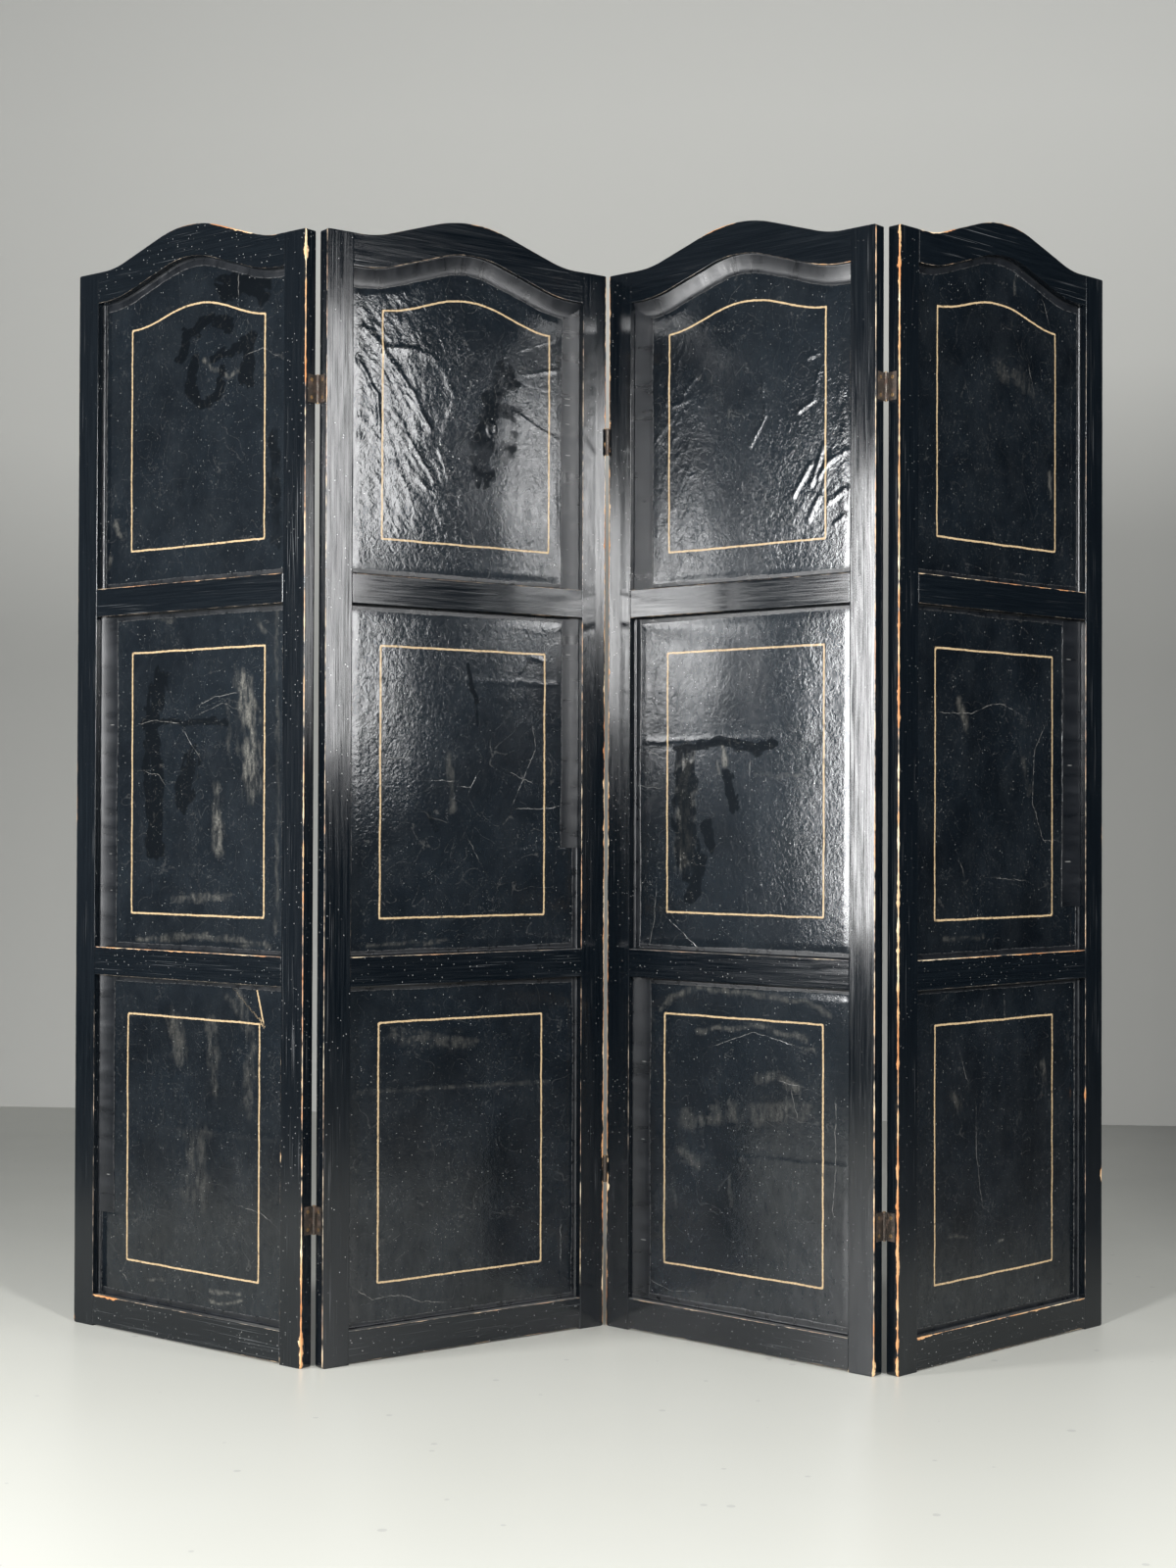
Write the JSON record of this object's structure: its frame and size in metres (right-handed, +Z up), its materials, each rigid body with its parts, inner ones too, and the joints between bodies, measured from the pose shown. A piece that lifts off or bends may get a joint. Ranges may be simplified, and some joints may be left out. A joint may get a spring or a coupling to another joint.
{
  "type": "folding screen",
  "caption": "Free-standing folding room screen: hinged black wooden frames with serpentine tops and sunk leather panels lined in gold.",
  "frame": {"origin": "middle of the screen's plan as it stands, on the floor", "axes": "+Z up; +X to the right along the row of folds as seen from the leather side; +Y from the leather side to the back"},
  "size_m": [1.7482, 0.3886, 1.8299],
  "materials": {
    "black_frame": "black painted softwood, satin, worn to the bare wood along the arrises",
    "black_leather": "black painted and varnished leather, glossy, wrinkled and finely cracked, with a gold line",
    "backing_board": "plain thin softwood board",
    "back_lining": "black lining cloth, matt",
    "binding_tape": "black leathercloth tape, slightly shiny, frayed at its edge",
    "hinge_leaf": "tarnished steel with brown rust",
    "hinge_pin": "dulled brass",
    "hinge_screw": "dulled brass, slotted"
  },
  "bodies": {
    "fold_2": {"fold_2_left_stile": "black_frame", "fold_2_right_stile": "black_frame", "fold_2_top_rail": "black_frame", "fold_2_upper_rail": "black_frame", "fold_2_lower_rail": "black_frame", "fold_2_bottom_rail": "black_frame", "fold_2_bottom_leather": "black_leather", "fold_2_middle_leather": "black_leather", "fold_2_top_leather": "black_leather", "fold_2_boards": "backing_board", "fold_2_linings": "back_lining", "fold_2_tapes": "binding_tape", "fold_2_hinge_screws": "hinge_screw", "fold_2_hinge_pins": "hinge_pin", "joint_1_three_knuckle_leaves": "hinge_leaf", "joint_2_three_knuckle_leaves": "hinge_leaf"},
    "fold_1": {"fold_1_left_stile": "black_frame", "fold_1_right_stile": "black_frame", "fold_1_top_rail": "black_frame", "fold_1_upper_rail": "black_frame", "fold_1_lower_rail": "black_frame", "fold_1_bottom_rail": "black_frame", "fold_1_bottom_leather": "black_leather", "fold_1_middle_leather": "black_leather", "fold_1_top_leather": "black_leather", "fold_1_boards": "backing_board", "fold_1_linings": "back_lining", "fold_1_tapes": "binding_tape", "fold_1_hinge_screws": "hinge_screw", "joint_1_two_knuckle_leaves": "hinge_leaf"},
    "fold_3": {"fold_3_left_stile": "black_frame", "fold_3_right_stile": "black_frame", "fold_3_top_rail": "black_frame", "fold_3_upper_rail": "black_frame", "fold_3_lower_rail": "black_frame", "fold_3_bottom_rail": "black_frame", "fold_3_bottom_leather": "black_leather", "fold_3_middle_leather": "black_leather", "fold_3_top_leather": "black_leather", "fold_3_boards": "backing_board", "fold_3_linings": "back_lining", "fold_3_tapes": "binding_tape", "fold_3_hinge_screws": "hinge_screw", "fold_3_hinge_pins": "hinge_pin", "joint_2_two_knuckle_leaves": "hinge_leaf", "joint_3_three_knuckle_leaves": "hinge_leaf"},
    "fold_4": {"fold_4_left_stile": "black_frame", "fold_4_right_stile": "black_frame", "fold_4_top_rail": "black_frame", "fold_4_upper_rail": "black_frame", "fold_4_lower_rail": "black_frame", "fold_4_bottom_rail": "black_frame", "fold_4_bottom_leather": "black_leather", "fold_4_middle_leather": "black_leather", "fold_4_top_leather": "black_leather", "fold_4_boards": "backing_board", "fold_4_linings": "back_lining", "fold_4_tapes": "binding_tape", "fold_4_hinge_screws": "hinge_screw", "joint_3_two_knuckle_leaves": "hinge_leaf"}
  },
  "joints": [
    {"name": "fold_1_swing", "type": "hinge", "parent": "fold_2", "child": "fold_1", "pos_m": [-0.4297, -0.13743, 0.9], "axis": [0, 0, 1], "range_deg": [-106, 74]},
    {"name": "fold_3_swing", "type": "hinge", "parent": "fold_2", "child": "fold_3", "pos_m": [0.02837, 0.15879, 0.9], "axis": [0, 0, 1], "range_deg": [-103, 77]},
    {"name": "fold_4_swing", "type": "hinge", "parent": "fold_3", "child": "fold_4", "pos_m": [0.45888, -0.17622, 0.9], "axis": [0, 0, 1], "range_deg": [-84, 96]}
  ]
}
